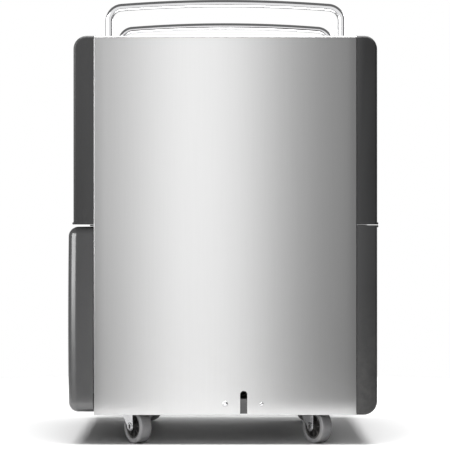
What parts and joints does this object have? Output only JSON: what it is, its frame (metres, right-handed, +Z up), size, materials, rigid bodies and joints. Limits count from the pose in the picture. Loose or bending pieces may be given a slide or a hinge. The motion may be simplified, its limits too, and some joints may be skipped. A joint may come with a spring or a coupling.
{
  "type": "dehumidifier",
  "caption": "Portable commercial dehumidifier: steel-wrapped box with front water tank, intake grille, rear outlet, two top bar handles and swivel castors.",
  "frame": {"origin": "on the floor, at the middle of the machine's box", "axes": "+Z up, -Y the front with the water tank, +X the right side seen from behind, with the drain slot"},
  "size_m": [0.4332, 0.498, 0.717],
  "materials": {
    "brushed_steel": "vertical brushed grain",
    "galvanised": "galvanised sheet",
    "painted_steel": "dark grey powder coat",
    "zinc": "bright zinc plate",
    "chrome": "polished chrome",
    "charcoal_plastic": "fine matt texture",
    "tank_plastic": "satin moulding",
    "black_plastic": "matt black",
    "bucket_plastic": "natural moulding",
    "filter_mesh": "woven mesh in a frame",
    "gloss_fascia": "gloss black",
    "smoked_window": "smoked",
    "button_grey": "satin",
    "board_green": "solder mask",
    "aluminium_fins": "mill finish",
    "copper": "drawn copper",
    "compressor_black": "semi-gloss black enamel",
    "rubber": "moulded rubber",
    "hose": "soft grey hose",
    "tyre_grey": "grey rubber",
    "float_white": "natural"
  },
  "bodies": {
    "chassis": {"steel_casing": "brushed_steel", "base_pan": "painted_steel", "casing_screws": "zinc", "casing_rivets": "zinc", "front_frame": "black_plastic", "front_cover": "charcoal_plastic", "rear_upper_cover": "charcoal_plastic", "rear_lower_cover": "charcoal_plastic", "control_panel": "gloss_fascia", "display_window": "smoked_window", "control_board": "board_green", "power_inlet": "black_plastic", "float_switch": "black_plastic", "evaporator_fins": "aluminium_fins", "evaporator_tubes": "copper", "condenser_fins": "aluminium_fins", "condenser_tubes": "copper", "drip_tray": "bucket_plastic", "inner_partition": "galvanised", "fan_shroud": "black_plastic", "fan_motor": "compressor_black", "compressor": "compressor_black", "compressor_grommets": "rubber", "suction_pipe": "copper", "discharge_pipe": "copper", "filter_drier": "copper", "capillary_tube": "copper", "control_box": "galvanised", "run_capacitor": "aluminium_fins", "drain_hose": "hose", "drain_nipple": "black_plastic", "handle_right": "chrome", "handle_left": "chrome", "handle_nuts": "zinc", "caster_plates": "zinc", "caster_bolts": "zinc"},
    "tank": {"tank_front": "tank_plastic", "tank_bucket": "bucket_plastic", "tank_lid": "bucket_plastic"},
    "float": {"tank_float": "float_white"},
    "grille": {"intake_grille": "charcoal_plastic", "air_filter": "filter_mesh"},
    "fan": {"fan_impeller": "black_plastic"},
    "rocker": {"power_rocker": "black_plastic"},
    "fork_front_right": {"caster_fork_front_right": "zinc"},
    "wheel_front_right": {"caster_hub_front_right": "black_plastic", "caster_tyre_front_right": "tyre_grey"},
    "fork_rear_right": {"caster_fork_rear_right": "zinc"},
    "wheel_rear_right": {"caster_hub_rear_right": "black_plastic", "caster_tyre_rear_right": "tyre_grey"},
    "fork_front_left": {"caster_fork_front_left": "zinc"},
    "wheel_front_left": {"caster_hub_front_left": "black_plastic", "caster_tyre_front_left": "tyre_grey"},
    "fork_rear_left": {"caster_fork_rear_left": "zinc"},
    "wheel_rear_left": {"caster_hub_rear_left": "black_plastic", "caster_tyre_rear_left": "tyre_grey"},
    "key_power": {"button_power": "button_grey"},
    "key_fan": {"button_fan": "button_grey"},
    "key_down": {"button_down": "button_grey"},
    "key_up": {"button_up": "button_grey"}
  },
  "joints": [
    {"name": "tank_slide", "type": "slide", "parent": "chassis", "child": "tank", "axis": [0, -1, 0], "range_m": [0, 0.26]},
    {"name": "float_swing", "type": "hinge", "parent": "tank", "child": "float", "pos_m": [0.1, -0.078, 0.296], "axis": [-1, 0, 0], "range_deg": [0, 20]},
    {"name": "grille_unclip", "type": "slide", "parent": "chassis", "child": "grille", "axis": [0, -1, 0], "range_m": [0, 0.06]},
    {"name": "fan_spin", "type": "hinge", "parent": "chassis", "child": "fan", "pos_m": [0, -0.078, 0.505], "axis": [0, 1, 0], "continuous": true},
    {"name": "rocker_tilt", "type": "hinge", "parent": "chassis", "child": "rocker", "pos_m": [0.153, 0.225, 0.108], "axis": [1, 0, 0], "range_deg": [0, 16]},
    {"name": "power_press", "type": "slide", "parent": "chassis", "child": "key_power", "axis": [0, 1, 0], "range_m": [0, 0.0012], "stiffness_N_per_m": 600},
    {"name": "fan_press", "type": "slide", "parent": "chassis", "child": "key_fan", "axis": [0, 1, 0], "range_m": [0, 0.0012], "stiffness_N_per_m": 600},
    {"name": "down_press", "type": "slide", "parent": "chassis", "child": "key_down", "axis": [0, 1, 0], "range_m": [0, 0.0012], "stiffness_N_per_m": 600},
    {"name": "up_press", "type": "slide", "parent": "chassis", "child": "key_up", "axis": [0, 1, 0], "range_m": [0, 0.0012], "stiffness_N_per_m": 600},
    {"name": "swivel_front_right", "type": "hinge", "parent": "chassis", "child": "fork_front_right", "pos_m": [0.17, -0.148, 0.058], "axis": [0, 0, 1], "continuous": true},
    {"name": "roll_front_right", "type": "hinge", "parent": "fork_front_right", "child": "wheel_front_right", "pos_m": [0.18474, -0.13768, 0.0275], "axis": [-0.5736, 0.8192, 0], "continuous": true},
    {"name": "swivel_rear_right", "type": "hinge", "parent": "chassis", "child": "fork_rear_right", "pos_m": [0.17, 0.142, 0.058], "axis": [0, 0, 1], "continuous": true},
    {"name": "roll_rear_right", "type": "hinge", "parent": "fork_rear_right", "child": "wheel_rear_right", "pos_m": [0.18474, 0.15232, 0.0275], "axis": [-0.5736, 0.8192, 0], "continuous": true},
    {"name": "swivel_front_left", "type": "hinge", "parent": "chassis", "child": "fork_front_left", "pos_m": [-0.17, -0.148, 0.058], "axis": [0, 0, 1], "continuous": true},
    {"name": "roll_front_left", "type": "hinge", "parent": "fork_front_left", "child": "wheel_front_left", "pos_m": [-0.15819, -0.13442, 0.0275], "axis": [-0.7547, 0.6561, 0], "continuous": true},
    {"name": "swivel_rear_left", "type": "hinge", "parent": "chassis", "child": "fork_rear_left", "pos_m": [-0.17, 0.142, 0.058], "axis": [0, 0, 1], "continuous": true},
    {"name": "roll_rear_left", "type": "hinge", "parent": "fork_rear_left", "child": "wheel_rear_left", "pos_m": [-0.15526, 0.15232, 0.0275], "axis": [-0.5736, 0.8192, 0], "continuous": true}
  ]
}
